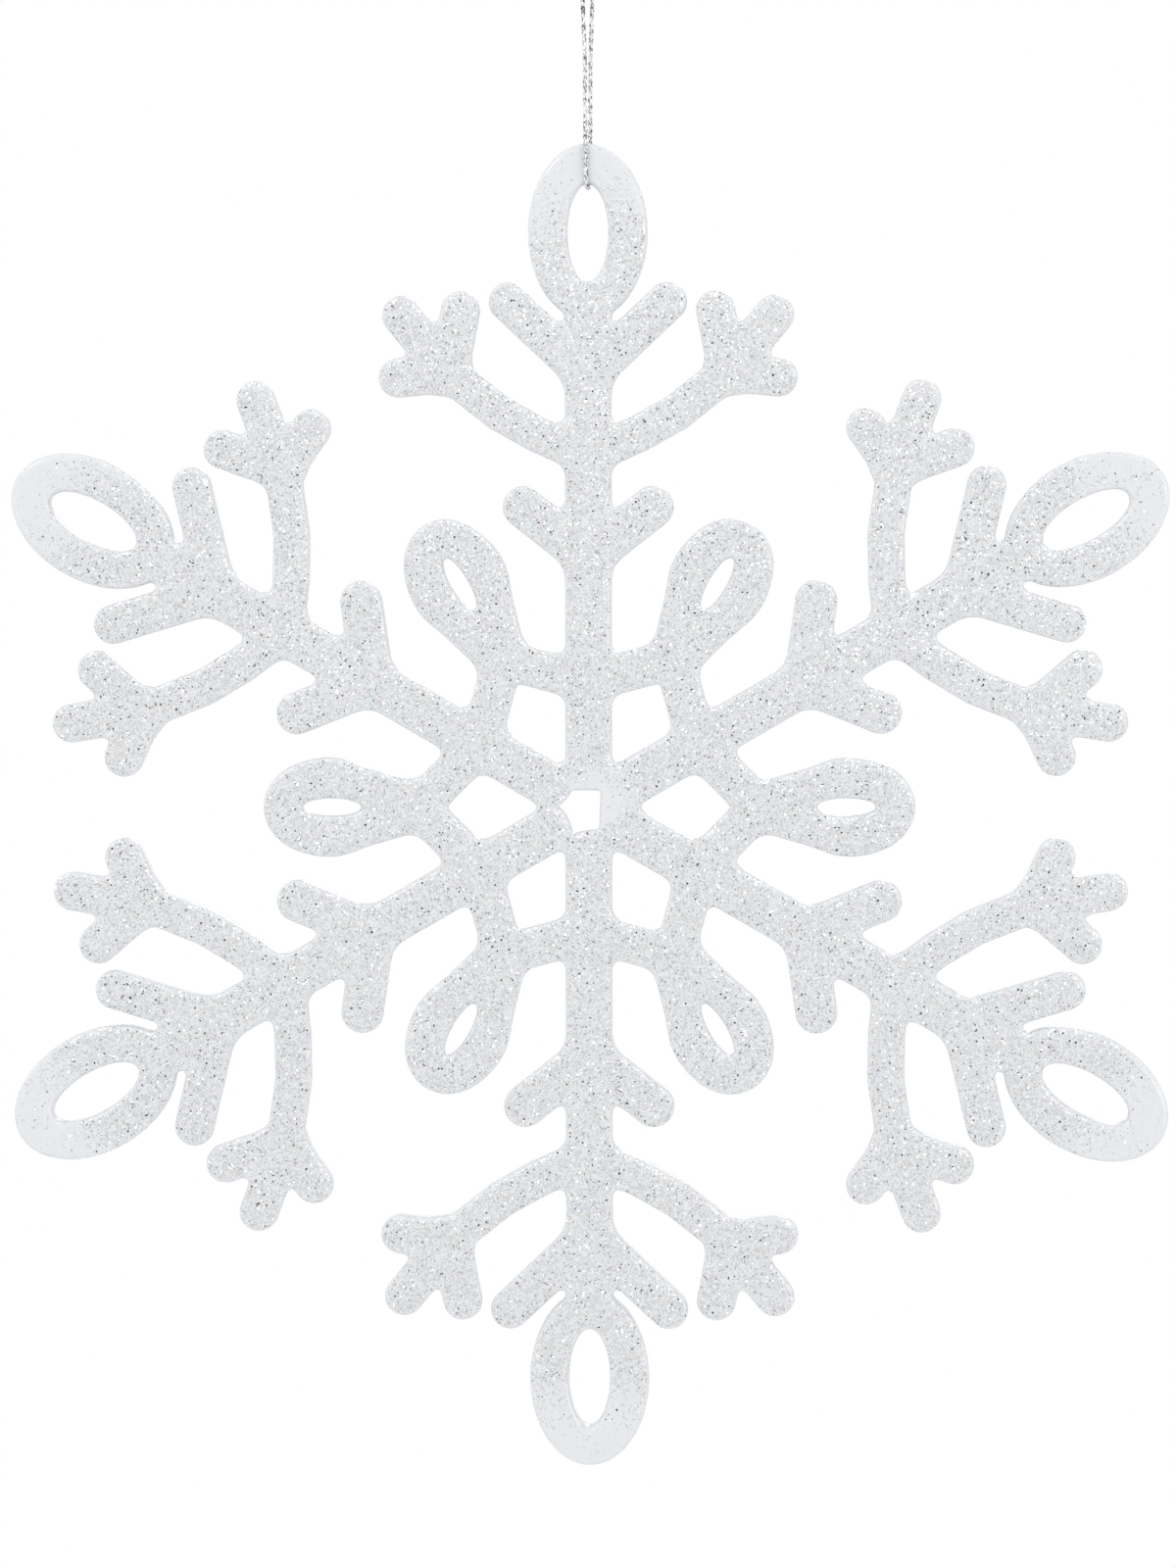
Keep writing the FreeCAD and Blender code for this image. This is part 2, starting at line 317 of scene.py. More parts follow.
def star_distance(x, z):
    """Distance in mm from (x, z) to the star's outline, negative in the plastic."""
    radius, angle = np.hypot(x, z), np.arctan2(x, z)
    step = 2 * math.pi / ARMS
    angle = np.abs((angle + step / 2) % step - step / 2)
    u, v = radius * np.sin(angle), radius * np.cos(angle)
    petal_u, petal_v = radius * np.sin(step / 2 - angle), radius * np.cos(step / 2 - angle)
    spine = np.maximum(u - SPINE_WIDTH / 2, v - (REACH - LOOP_SIZE[1] / 2))
    next_spine = radius * np.sin(step - angle) - SPINE_WIDTH / 2
    hand = np.full_like(u, REACH)
    for tip in FINGER_TIPS:
        hand = soft_min(hand, to_stroke(u, v, (BRANCH[-1], tip), FINGER_WIDTH), FINGER_FILLET)
    branch = soft_min(to_path(u, v, BRANCH, BRANCH_WIDTH), hand, NOTCH_FILLET)
    petal = soft_min(
        to_oval(petal_u, petal_v, PETAL_REACH - PETAL_SIZE[1] / 2, PETAL_SIZE),
        to_taper(petal_u, petal_v, *PETAL_WAIST),
        FILLET,
    )
    bar = to_stroke(petal_u, petal_v, ((0.0, BAR_TOP), BAR_FOOT), BAR_WIDTH)
    star = soft_min(spine, next_spine, FILLET)
    star = soft_min(star, to_stroke(u, v, SHORT_TWIG, SHORT_TWIG_WIDTH), FILLET)
    star = soft_min(star, branch, FILLET)
    star = soft_min(star, to_stroke(u, v, LONG_TWIG, LONG_TWIG_WIDTH), FILLET)
    star = soft_min(star, to_oval(u, v, REACH - LOOP_SIZE[1] / 2, LOOP_SIZE), NOTCH_FILLET)
    star = soft_min(star, bar, FILLET)
    star = soft_min(star, petal, FILLET)
    eye = to_oval(u, v, REACH - EYE_WALL - EYE_SIZE[1] / 2, EYE_SIZE)
    petal_eye = to_oval(petal_u, petal_v, PETAL_EYE_PLACE, PETAL_EYE_SIZE)
    centre_hole = to_bowed_polygon(x, z, CENTRE_CORNERS, CENTRE_BOWS)
    return np.maximum.reduce([star, -eye, -petal_eye, -centre_hole])


GRID_STEP = 0.5
grid_x = np.arange(-0.9 * REACH, 0.9 * REACH + GRID_STEP, GRID_STEP)
grid_z = np.arange(-REACH - 2, REACH + 2 + GRID_STEP, GRID_STEP)
grid = star_distance(*np.meshgrid(grid_x, grid_z))
print(f"plastic covers {(grid < 0).sum() * GRID_STEP**2:.0f} square mm")

# %% [markdown]
# ## Closed outlines
# Marching squares walks the grid and links the places where the distance changes sign. The loops are
# then spaced evenly and moved onto the true outline with Newton's method, so the coarse grid leaves no
# steps. The slope of the distance also gives the outward direction at each point, which the rounded
# edges need.

# %% Outlines
OUTLINE_STEP = 0.9
NEWTON_STEPS = 4
LEAST_SLOPE = 0.2  # keeps a step short where two strokes meet and the slope nearly vanishes


def zero_loops(values):
    """Closed loops of grid edges that the outline crosses, with the plastic on their left."""
    inside = values < 0
    among = inside[:-1, :-1].astype(int) + inside[:-1, 1:] + inside[1:, 1:] + inside[1:, :-1]
    follow = {}
    for row, column in np.argwhere((among > 0) & (among < 4)).tolist():
        cell = [(row, column), (row, column + 1), (row + 1, column + 1), (row + 1, column)]
        within = [inside[place] for place in cell]
        for k in range(4):
            if within[k] and not within[(k + 1) % 4]:
                j = k - 1
                while within[j] or not within[(j + 1) % 4]:
                    j -= 1
                ahead = frozenset((cell[j % 4], cell[(j + 1) % 4]))
                follow[frozenset((cell[k], cell[(k + 1) % 4]))] = ahead
    loops = []
    while follow:
        edge, loop = next(iter(follow)), []
        while edge in follow:
            loop.append(tuple(edge))
            edge = follow.pop(edge)
        loops.append(loop)
    return loops


def crossing(edge):
    """The place in mm where the outline crosses a grid edge."""
    (row, column), (next_row, next_column) = edge
    share = grid[row, column] / (grid[row, column] - grid[next_row, next_column])
    x = grid_x[column] + share * (grid_x[next_column] - grid_x[column])
    z = grid_z[row] + share * (grid_z[next_row] - grid_z[row])
    return x, z


def spaced(loop, step):
    """A closed loop's points, a step apart along it."""
    closed = np.vstack([loop, loop[:1]])
    along = np.concatenate([[0], np.cumsum(np.hypot(*np.diff(closed, axis=0).T))])
    places = np.linspace(0, along[-1], max(8, round(along[-1] / step)), endpoint=False)
    return np.stack([np.interp(places, along, closed[:, i]) for i in (0, 1)], 1)


def slope_at(points, reach=0.05):
    """The direction in which the distance grows, from its values reach mm to each side."""
    x, z = points.T
    across = star_distance(x + reach, z) - star_distance(x - reach, z)
    up = star_distance(x, z + reach) - star_distance(x, z - reach)
    return np.stack([across, up], 1) / (2 * reach)


crossings = [np.array([crossing(edge) for edge in loop]) for loop in zero_loops(grid)]
rings = [spaced(loop, OUTLINE_STEP) for loop in crossings]
ring_sizes = [len(ring) for ring in rings]
rim = np.vstack(rings)
for _ in range(NEWTON_STEPS):
    slope = slope_at(rim)
    steepness = np.maximum((slope**2).sum(1), LEAST_SLOPE)[:, None]
    rim = rim - star_distance(*rim.T)[:, None] * slope / steepness
slope = slope_at(rim)
rim_outward = slope / np.hypot(*slope.T)[:, None]
print(f"{len(rings)} loops, {len(rim)} points")

# %% [markdown]
# ## The flat of the face
# Inside the rounded edge the face is flat. It is filled once, by a constrained Delaunay triangulation
# of the edge and a triangular lattice of points, and every layer of the star uses the same filling. A
# triangle that has an edge of the ring on its left is plastic, and so is each triangle reached from it
# without crossing a ring.

# %% Face
EDGE_ROUND = 1.3
LATTICE = 2.6


def lattice(spacing, inset):
    """Points of a triangular lattice, well inside the inset outline."""
    rows = np.arange(-REACH, REACH, spacing * math.sqrt(3) / 2)
    columns = np.arange(-REACH, REACH, spacing)
    x, z = np.meshgrid(columns, rows)
    x = x + np.where(np.arange(len(rows)) % 2, spacing / 2, 0)[:, None]
    keep = star_distance(x, z) < -(inset + spacing / 3)
    return np.stack([x[keep], z[keep]], 1)


def ring_edges():
    """Pairs of following points, ring by ring."""
    start = 0
    for size in ring_sizes:
        for k in range(size):
            yield start + k, start + (k + 1) % size
        start += size


def fill(edge_points, inner_points):
    """Triangles over the plastic, as numbers of the edge points and then the inner points."""
    ring = set(ring_edges())
    places = [Vector(p) for p in np.vstack([edge_points, inner_points])]
    _, _, found, sources, _, _ = delaunay_2d_cdt(places, list(ring), [], 0, 1e-5)
    triangles = [tuple(sources[corner][0] for corner in face) for face in found]
    sides = {}
    for t, (a, b, c) in enumerate(triangles):
        for side in ((a, b), (b, c), (c, a)):
            sides[side] = t
    plastic = {t for side, t in sides.items() if side in ring}
    queue = list(plastic)
    while queue:
        a, b, c = triangles[queue.pop()]
        for side in ((a, b), (b, c), (c, a)):
            beyond = sides.get(side[::-1])
            if side not in ring and beyond is not None and beyond not in plastic:
                plastic.add(beyond)
                queue.append(beyond)
    return [triangles[t] for t in sorted(plastic)]


face_edge = rim - rim_outward * EDGE_ROUND
face_inside = lattice(LATTICE, EDGE_ROUND)
face_triangles = fill(face_edge, face_inside)
print(f"{len(face_triangles)} triangles in the flat of the face")

# %% [markdown]
# ## Layers of the star
# The moulding and both coats are made in one way: the outline is repeated at each step of a profile,
# which is a list of (inset, depth) in mm, and the two ends are closed with the flat. Depth is along Y,
# and the front of the star faces -Y.

# %% Layers


def layer_shell(profile):
    """Points in metres and faces of a closed layer with that edge profile."""
    count = len(rim)
    levels = [np.insert(rim - rim_outward * inset, 1, depth, axis=1) for inset, depth in profile]
    first, last = [np.insert(face_inside, 1, profile[i][1], axis=1) for i in (0, -1)]
    points = np.vstack(levels + [first, last]) * MM + np.array(CENTRE)
    faces = [
        (level * count + a, level * count + b, (level + 1) * count + b, (level + 1) * count + a)
        for level in range(len(profile) - 1)
        for a, b in ring_edges()
    ]
    inside_first = len(profile) * count
    ends = [(0, inside_first), (inside_first - count, inside_first + len(first))]
    for ring_start, inside_start in ends:
        for triangle in face_triangles:
            faces.append([ring_start + k if k < count else inside_start + k - count for k in triangle])
    return points, faces


def edge_profile(angles, height, lift=lambda angle: 0.0):
    """(inset, depth) round the moulding's rounded edge, where 0 degrees is its side and 90 its face."""
    profile = []
    for angle in angles:
        turn, radius = math.radians(angle), EDGE_ROUND + lift(angle)
        inset = EDGE_ROUND - radius * math.cos(turn)
        profile.append((inset, height - EDGE_ROUND + radius * math.sin(turn)))
    return profile


# %% [markdown]
# ## Where the glitter is
# The glitter was sprinkled on wet adhesive by hand: it is missing at the ends of the six outer loops,
# above and to the right of the hole in the middle and along the very edge, and a little uneven
# everywhere. A cover of 1 is full glitter and 0 is bare. Smooth noise moves the borders about, so that
# no patch ends in a drawn line.

# %% Cover
BARE_FROM, BARE_TO = 127.0, 143.0
BARE_SPOT = (1.5, 1.0)
BARE_SPOT_RADIUS = 5.8
BARE_SPOT_BORDER = 1.5
GLITTER_STARTS, GLITTER_FULL = 0.15, 0.9  # how far inside the outline
LOOP_BARENESS = 0.95
PATCH_SIZE = 9.0
PATCH_STRENGTH = 0.25
LOOP_WANDER, SPOT_WANDER = 12, 2


def step_between(low, high, value):
    """0 below low, 1 above high, and a smooth step between them."""
    share = np.clip((value - low) / (high - low), 0, 1)
    return share * share * (3 - 2 * share)


def cover_at(points):
    """How full the glitter is at each point in metres, from 0 to 1."""
    x, y, z = (np.asarray(points) - np.array(CENTRE)).T / MM
    patch = np.array([noise.noise(Vector(p) / PATCH_SIZE) for p in zip(x, y, z)])
    from_middle = np.hypot(x, z) + LOOP_WANDER * patch
    thin = LOOP_BARENESS * step_between(BARE_FROM, BARE_TO, from_middle)
    from_spot = np.hypot(x - BARE_SPOT[0], z - BARE_SPOT[1]) + SPOT_WANDER * patch
    spot = 1 - step_between(BARE_SPOT_RADIUS, BARE_SPOT_RADIUS + BARE_SPOT_BORDER, from_spot)
    inner = step_between(GLITTER_STARTS, GLITTER_FULL, -star_distance(x, z))
    return np.clip(1 - thin - spot + PATCH_STRENGTH * patch, 0, 1) * inner


def store(mesh, name, values):
    """Keeps one number for each point, where a material or a node tree can read it."""
    mesh.attributes.new(name, "FLOAT", "POINT").data.foreach_set("value", values.astype(np.float32))


# %% [markdown]
# ## Finishes
# Milky plastic scatters light a little under its surface. The adhesive over it is clear, so it takes
# the plastic's own white, with flakes too small to model: each cell of a Voronoi pattern is one flake
# with its own tilt and tone. The flakes large enough to see are real geometry, and take their tone
# from an attribute. Most are plain silver, a few are painted dark as a painted reflection of something
# dark, and some have the faint blue, violet, green or orange of an iridescent film. Patterns use object
# coordinates, so their scale is one over their size in metres.

# %% Finishes
MICRO_FLAKE = 0.36 * MM  # fine glitter is nearer 0.1 mm, which is too fine to show: it is drawn coarser
PLASTIC_COLOUR = "E4E6E9"
PLASTIC_IOR = 1.49
PLASTIC_SCATTER = 2.0 * MM
PLASTIC_WAVES = 6 * MM  # the slow waves that a mould leaves as the plastic shrinks
FACET_LEAN = 0.35
ADHESIVE_WAVES = 2.5 * MM  # adhesive dries in shorter, deeper waves than the mould leaves


def scatter_under_surface(shader, roughness):
    """Milky white that lets light in a little way, which softens every edge and shadow."""
    shader.inputs["Base Color"].default_value = colour(PLASTIC_COLOUR)
    shader.inputs["Roughness"].default_value = roughness
    shader.inputs["IOR"].default_value = PLASTIC_IOR
    shader.inputs["Subsurface Weight"].default_value = 0.3
    shader.inputs["Subsurface Radius"].default_value = (1.0, 1.0, 1.0)
    shader.inputs["Subsurface Scale"].default_value = PLASTIC_SCATTER


def milky_plastic():
    """Injection-moulded translucent plastic: a soft white with a wet-looking, slightly wavy gloss."""
    material, tree, shader = new_material("milky_plastic")
    place = add_node(tree, "ShaderNodeTexCoord").outputs["Object"]
    waves = add_node(tree, "ShaderNodeTexNoise", Vector=place, Scale=1 / PLASTIC_WAVES, Detail=2.0)
    bump = add_node(tree, "ShaderNodeBump", Height=waves.outputs[0], Strength=0.15, Distance=0.1 * MM)
    scatter_under_surface(shader, roughness=0.24)
    tree.links.new(bump.outputs["Normal"], shader.inputs["Normal"])
    return material


def tone_ramp(tree, tone, stops):
    """A ramp in flat steps: stops are (share of the flakes, colour code)."""
    node = add_node(tree, "ShaderNodeValToRGB", Fac=tone)
    node.color_ramp.interpolation = "CONSTANT"
    start = 0.0
    for number, (share, code) in enumerate(stops):
        element = node.color_ramp.elements[0] if number == 0 else node.color_ramp.elements.new(start)
        element.position = start
        element.color = colour(code)
        start += share
    node.color_ramp.elements.remove(node.color_ramp.elements[-1])
    return node.outputs["Color"]


# Flake colours: the silvers and iridescent tints are the film's own; the darkest is a painted
# reflection, a flake painted as if it mirrored something dark.
FLAKE_TONES_AND_DARK_REFLECTION = [
    (0.02, "505257"),  # painted reflection: a flake painted dark, as if it mirrored something dark
    (0.06, "B6B8BB"),
    (0.04, "D3DFEE"),  # blue, violet, green and orange film
    (0.04, "E0D8EA"),
    (0.04, "D6E9E2"),
    (0.04, "ECDFD6"),
    (0.64, "DFE0E1"),  # plain silver
    (0.12, "F1F2F2"),
]


def glitter_adhesive():
    """Clear craft adhesive full of fine metallised film: gloss over white, broken up by tiny facets.

    A flake shows in a cell where the cover is full enough, and leans by up to FACET_LEAN each way."""
    material, tree, plastic = new_material("glitter_adhesive")
    place = add_node(tree, "ShaderNodeTexCoord").outputs["Object"]
    cells = add_node(tree, "ShaderNodeTexVoronoi", Vector=place, Scale=1 / MICRO_FLAKE)
    cover = add_node(tree, "ShaderNodeAttribute", {"attribute_name": "cover"}).outputs["Fac"]
    channels = add_node(tree, "ShaderNodeSeparateColor", Color=cells.outputs["Color"])
    tilt = add_node(
        tree, "ShaderNodeVectorMath", {"operation": "MULTIPLY_ADD"},
        _0=cells.outputs["Color"], _1=(2 * FACET_LEAN,) * 3, _2=(-FACET_LEAN,) * 3,
    )
    normal = add_node(tree, "ShaderNodeNewGeometry").outputs["Normal"]
    leaning = add_node(tree, "ShaderNodeVectorMath", {"operation": "ADD"}, _0=normal, _1=tilt.outputs[0])
    facet = add_node(tree, "ShaderNodeVectorMath", {"operation": "NORMALIZE"}, _0=leaning.outputs[0])
    flake = add_node(tree, "ShaderNodeBsdfPrincipled", Metallic=1.0, Roughness=0.25)
    # The fine flakes share these colours, so a few carry the painted dark reflection.
    tree.links.new(tone_ramp(tree, channels.outputs[0], FLAKE_TONES_AND_DARK_REFLECTION), flake.inputs["Base Color"])
    tree.links.new(facet.outputs[0], flake.inputs["Normal"])
    share = add_node(tree, "ShaderNodeMath", {"operation": "MULTIPLY"}, _0=cover, _1=0.5)
    chosen = add_node(
        tree, "ShaderNodeMath", {"operation": "LESS_THAN"}, _0=channels.outputs[2], _1=share.outputs[0]
    )
    waves = add_node(tree, "ShaderNodeTexNoise", Vector=place, Scale=1 / ADHESIVE_WAVES, Detail=3.0)
    bump = add_node(tree, "ShaderNodeBump", Height=waves.outputs[0], Strength=0.3, Distance=0.2 * MM)
    scatter_under_surface(plastic, roughness=0.2)
    tree.links.new(bump.outputs["Normal"], plastic.inputs["Normal"])
    both = add_node(
        tree, "ShaderNodeMixShader",
        Fac=chosen.outputs[0], _1=plastic.outputs["BSDF"], _2=flake.outputs["BSDF"],
    )
    output = next(node for node in tree.nodes if node.type == "OUTPUT_MATERIAL")
    tree.links.new(both.outputs[0], output.inputs["Surface"])
    return material


def loose_flakes():
    """Cut aluminium-coated polyester film: each flake is a small mirror; most are bright, and a few are
    painted dark as a painted reflection of something dark.
    """
    material, tree, shader = new_material("glitter_flakes")
    tone = add_node(tree, "ShaderNodeAttribute", {"attribute_name": "tone"}).outputs["Fac"]
    # A few flakes get the darkest tone, a painted reflection rather than the film's own colour.
    tree.links.new(tone_ramp(tree, tone, FLAKE_TONES_AND_DARK_REFLECTION), shader.inputs["Base Color"])
    shader.inputs["Metallic"].default_value = 1.0
    shader.inputs["Roughness"].default_value = 0.16
    return material


# The darkest yarn tone is painted shade, standing for the places deeper in the twist; the lighter two
# are the silver's own tones.
YARN_TONES_AND_PAINTED_SHADE = [(0.24, "6E7176"), (0.16, "C9CBCE"), (0.6, "F6F7F8")]
THREADS = (9.0, 2.0, 1.0)  # round a strand and along 5.6 mm of it: each about 0.15 by 2.8 mm
STRETCHES = (4.0, 7.0, 1.0)  # the same for a stretch of one tone, silver or painted shade: each about 0.3 by 0.8 mm


def silver_yarn():
    """Flat metallised yarn: a bright, hard silver with fine filaments that run along each strand.

    The strand's own UV map carries both patterns. Real filaments are a few hundredths of a millimetre
    across, too fine to show, so they are drawn coarser. Random dark stretches are painted shade of the
    twist."""
    material, tree, shader = new_material("silver_yarn")
    strand = add_node(tree, "ShaderNodeTexCoord").outputs["UV"]
    stretched = add_node(
        tree, "ShaderNodeVectorMath", {"operation": "MULTIPLY"}, _0=strand, _1=THREADS
    )
    threads = add_node(tree, "ShaderNodeTexNoise", Vector=stretched.outputs[0], Scale=1.0, Detail=2.0)
    bump = add_node(tree, "ShaderNodeBump", Height=threads.outputs[0], Strength=0.5, Distance=0.05 * MM)
    # Random stretches of the strand take one tone each; the dark ones are painted shade.
    sparkle = add_node(
        tree, "ShaderNodeVectorMath", {"operation": "MULTIPLY"}, _0=strand, _1=STRETCHES
    )
    cells = add_node(tree, "ShaderNodeTexVoronoi", Vector=sparkle.outputs[0], Scale=1.0)
    channels = add_node(tree, "ShaderNodeSeparateColor", Color=cells.outputs["Color"])
    tones = tone_ramp(tree, channels.outputs[0], YARN_TONES_AND_PAINTED_SHADE)
    tree.links.new(tones, shader.inputs["Base Color"])
    shader.inputs["Metallic"].default_value = 1.0
    shader.inputs["Roughness"].default_value = 0.2
    tree.links.new(bump.outputs["Normal"], shader.inputs["Normal"])
    return material


PLASTIC, ADHESIVE, FLAKES, YARN = milky_plastic(), glitter_adhesive(), loose_flakes(), silver_yarn()
print(f"finishes: {', '.join(m.name for m in (PLASTIC, ADHESIVE, FLAKES, YARN))}")

# %% [markdown]
# ## The moulding
# The plastic is one closed solid. A mould's edges are rounded a little, so the same rounded profile
# runs round the outline on both faces, from the flat of the front to the flat of the back.

# %% Moulding
HALF_THICKNESS = THICKNESS / 2
EDGE_ANGLES = (90, 66, 42, 20, 0)
front_edge = [(inset, -depth) for inset, depth in edge_profile(EDGE_ANGLES, HALF_THICKNESS)]
back_edge = [(inset, -depth) for inset, depth in reversed(front_edge)]
moulding = new_piece("snowflake_body", *layer_shell(front_edge + back_edge), PLASTIC)
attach(moulding, "star")
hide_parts("snowflake_moulding")

# %% [markdown]
# ## The coats
# Each coat is a skin that starts part of the way round the edge, thickens over the shoulder and covers
# the face. Its inner side is sunk a little into the plastic, so that no gap shows.

# %% Coats
SKIN = COAT - 0.05
SINK = 0.3
SKIN_START, SKIN_FULL = 22, 54
COAT_ANGLES = (90, 72, SKIN_FULL, 38, SKIN_START)


def skin_lift(angle):
    """How thick the coat is at an angle round the edge."""
    return SKIN * float(step_between(SKIN_START, SKIN_FULL, angle))


def glitter_coat(name, node, side):
    """The coat on one side: -1 is the front and 1 the back."""
    outer = edge_profile(COAT_ANGLES, HALF_THICKNESS, skin_lift)
    inner = edge_profile((SKIN_START, 90), HALF_THICKNESS, lambda angle: -SINK)
    profile = [(inset, side * depth) for inset, depth in outer + inner]
    coat = new_piece(name, *layer_shell(profile), ADHESIVE)
    store(coat.data, "cover", cover_at([vertex.co for vertex in coat.data.vertices]))
    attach(coat, "star")
    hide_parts(node)
    return coat


front_coat = glitter_coat("front_glitter", "front_glitter_coat", -1)
back_coat = glitter_coat("back_glitter", "back_glitter_coat", 1)

# %% [markdown]
# ## The flakes
# Geometry Nodes scatters the flakes: points on the coat, denser where the cover is fuller, and on each
# a flat six-sided flake with its own size, tilt, spin and tone. A flake is a very low cone whose flat
# side faces out, which makes it a closed solid of only ten triangles.

# %% Flake tree


def flake_tree():
    """The node tree that scatters flakes on a patch and gives each its tone."""
    tree = bpy.data.node_groups.new("glitter_flakes", "GeometryNodeTree")
    sockets = tree.interface
    sockets.new_socket("Geometry", in_out="OUTPUT", socket_type="NodeSocketGeometry")
    sockets.new_socket("Geometry", in_out="INPUT", socket_type="NodeSocketGeometry")
    for name, kind in (
        ("Density", "Float"), ("Smallest", "Float"), ("Largest", "Float"),
        ("Tilt", "Float"), ("Seed", "Int"), ("Finish", "Material"),
    ):
        sockets.new_socket(name, in_out="INPUT", socket_type=f"NodeSocket{kind}")
    given = add_node(tree, "NodeGroupInput").outputs
    cover = add_node(tree, "GeometryNodeInputNamedAttribute", {"data_type": "FLOAT"}, Name="cover")
    density = add_node(
        tree, "ShaderNodeMath", {"operation": "MULTIPLY"}, _0=cover.outputs[0], _1=given["Density"]
    )
    scatter = add_node(
        tree, "GeometryNodeDistributePointsOnFaces",
        Mesh=given["Geometry"], Density=density.outputs[0], Seed=given["Seed"],
    )
    flake = add_node(
        tree, "GeometryNodeMeshCone", Vertices=6, Radius_Top=0.0, Radius_Bottom=0.5, Depth=0.14
    )
    turned = add_node(
        tree, "GeometryNodeTransform", Geometry=flake.outputs["Mesh"], Rotation=(math.pi, 0.0, 0.0)
    )
    back = add_node(tree, "ShaderNodeMath", {"operation": "MULTIPLY"}, _0=given["Tilt"], _1=-1.0)
    low = add_node(tree, "ShaderNodeCombineXYZ", X=back.outputs[0], Y=back.outputs[0])
    high = add_node(tree, "ShaderNodeCombineXYZ", X=given["Tilt"], Y=given["Tilt"], Z=math.tau)
    angles = add_node(
        tree, "FunctionNodeRandomValue", {"data_type": "FLOAT_VECTOR"},
        _0=low.outputs[0], _1=high.outputs[0], Seed=given["Seed"],
    )
    lean = add_node(tree, "FunctionNodeEulerToRotation", Euler=angles.outputs[0])
    turn = add_node(
        tree, "FunctionNodeRotateRotation", {"rotation_space": "LOCAL"},
        Rotation=scatter.outputs["Rotation"], Rotate_By=lean.outputs[0],
    )
    size = add_node(
        tree, "FunctionNodeRandomValue", {"data_type": "FLOAT"},
        _2=given["Smallest"], _3=given["Largest"], Seed=given["Seed"],
    )
    placed = add_node(
        tree, "GeometryNodeInstanceOnPoints",
        Points=scatter.outputs["Points"], Instance=turned.outputs[0],
        Rotation=turn.outputs[0], Scale=size.outputs[1],
    )
    tone = add_node(tree, "FunctionNodeRandomValue", {"data_type": "FLOAT"}, Seed=given["Seed"])
    toned = add_node(
        tree, "GeometryNodeStoreNamedAttribute", {"data_type": "FLOAT", "domain": "INSTANCE"},
        Geometry=placed.outputs[0], Name="tone", Value=tone.outputs[1],
    )
    real = add_node(tree, "GeometryNodeRealizeInstances", Geometry=toned.outputs[0])
    finished = add_node(
        tree, "GeometryNodeSetMaterial", Geometry=real.outputs[0], Material=given["Finish"]
    )
    add_node(tree, "NodeGroupOutput", Geometry=finished.outputs[0])
    return tree


FLAKE_TREE = flake_tree()
print(f"flake tree: {len(FLAKE_TREE.nodes)} nodes")

# %% [markdown]
# One piece holds the flakes of one sixth of one side, so that no piece grows too heavy. The tree's
# inputs are set by their identifiers before it is first read, and the result is kept as a plain mesh.
# Flakes of 0.2 to 0.5 mm across are a usual size for fine craft glitter.

# %% Flakes
SECTORS = 6
FLAKE_FACES = 7
FIRST_SEED = 7
SHOULDER = 0.35  # the share of the edge's depth, down from the face, that flakes reach
STEEPEST = 0.25  # a face that turns further from the front than this carries no flakes
FLAKE_SPACING = 0.66 * MM
FLAKE_SIZES = (0.20 * MM, 0.52 * MM)
FLAKE_TILT = math.radians(24)


def sector_patch(coat, side, sector):
    """A copy of the coat's outer skin in one sixth of the star."""
    mesh = coat.data
    points = np.array([vertex.co for vertex in mesh.vertices])
    level = (HALF_THICKNESS - EDGE_ROUND * SHOULDER) * MM
    faces = []
    for face in mesh.polygons:
        x, y, z = face.center - CENTRE
        outer = side * y > level and side * face.normal.y > STEEPEST
        own_sector = int(math.atan2(x, z) / math.tau * SECTORS + 0.5 + SECTORS) % SECTORS
        if outer and own_sector == sector:
            faces.append(tuple(face.vertices))
    used = sorted({k for face in faces for k in face})
    number = {k: i for i, k in enumerate(used)}
    patch = bpy.data.meshes.new("patch")
    numbered = [tuple(number[k] for k in face) for face in faces]
    patch.from_pydata(points[used].tolist(), [], numbered)
    store(patch, "cover", cover_at(points[used]))
    return patch


def scatter_flakes(name, patch, seed):
    """The flakes on a patch, as a plain mesh piece."""
    holder = bpy.data.objects.new("holder", patch)
    bpy.context.scene.collection.objects.link(holder)
    modifier = holder.modifiers.new("flakes", "NODES")
    modifier.node_group = FLAKE_TREE
    density = 1.0 / FLAKE_SPACING**2
    values = {
        "Density": density, "Smallest": FLAKE_SIZES[0], "Largest": FLAKE_SIZES[1],
        "Tilt": FLAKE_TILT, "Seed": seed, "Finish": FLAKES,
    }
    for item in FLAKE_TREE.interface.items_tree:
        if item.name in values:
            modifier[item.identifier] = values[item.name]
    depsgraph = bpy.context.evaluated_depsgraph_get()
    mesh = bpy.data.meshes.new_from_object(holder.evaluated_get(depsgraph))
    bpy.data.objects.remove(holder)
    bpy.data.meshes.remove(patch)
    piece = bpy.data.objects.new(name, mesh)
    bpy.context.scene.collection.objects.link(piece)
    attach(piece, "star")
    print(f"{name}: {len(mesh.polygons) // FLAKE_FACES} flakes")


for side, side_name, coat in ((-1, "front", front_coat), (1, "back", back_coat)):
    for sector in range(SECTORS):
        patch = sector_patch(coat, side, sector)
        scatter_flakes(f"{side_name}_flakes_{sector + 1}", patch, FIRST_SEED + 2 * sector + side)

# %% [markdown]
# ## The cord
# The cord is a round braid of four flat silver strands. Two wind one way and two the other, and each
# passes over one strand and under the next, because its distance from the middle swings twice in each
# turn. LAY is the length of cord in which a strand goes once round. A strand is a flattened tube,
# swept along the cord's line with directions that never twist, so that the braid keeps its pitch round
# the bends.

# %% Braid
LAY = 5.6 * MM
STRAND_MIDDLE = 0.32 * MM
STRAND_SWING = 0.08 * MM
STRAND_THICK = 0.15 * MM
STRAND_WIDE = 0.26 * MM
STRAND_SIDES = 8
STRANDS = 4


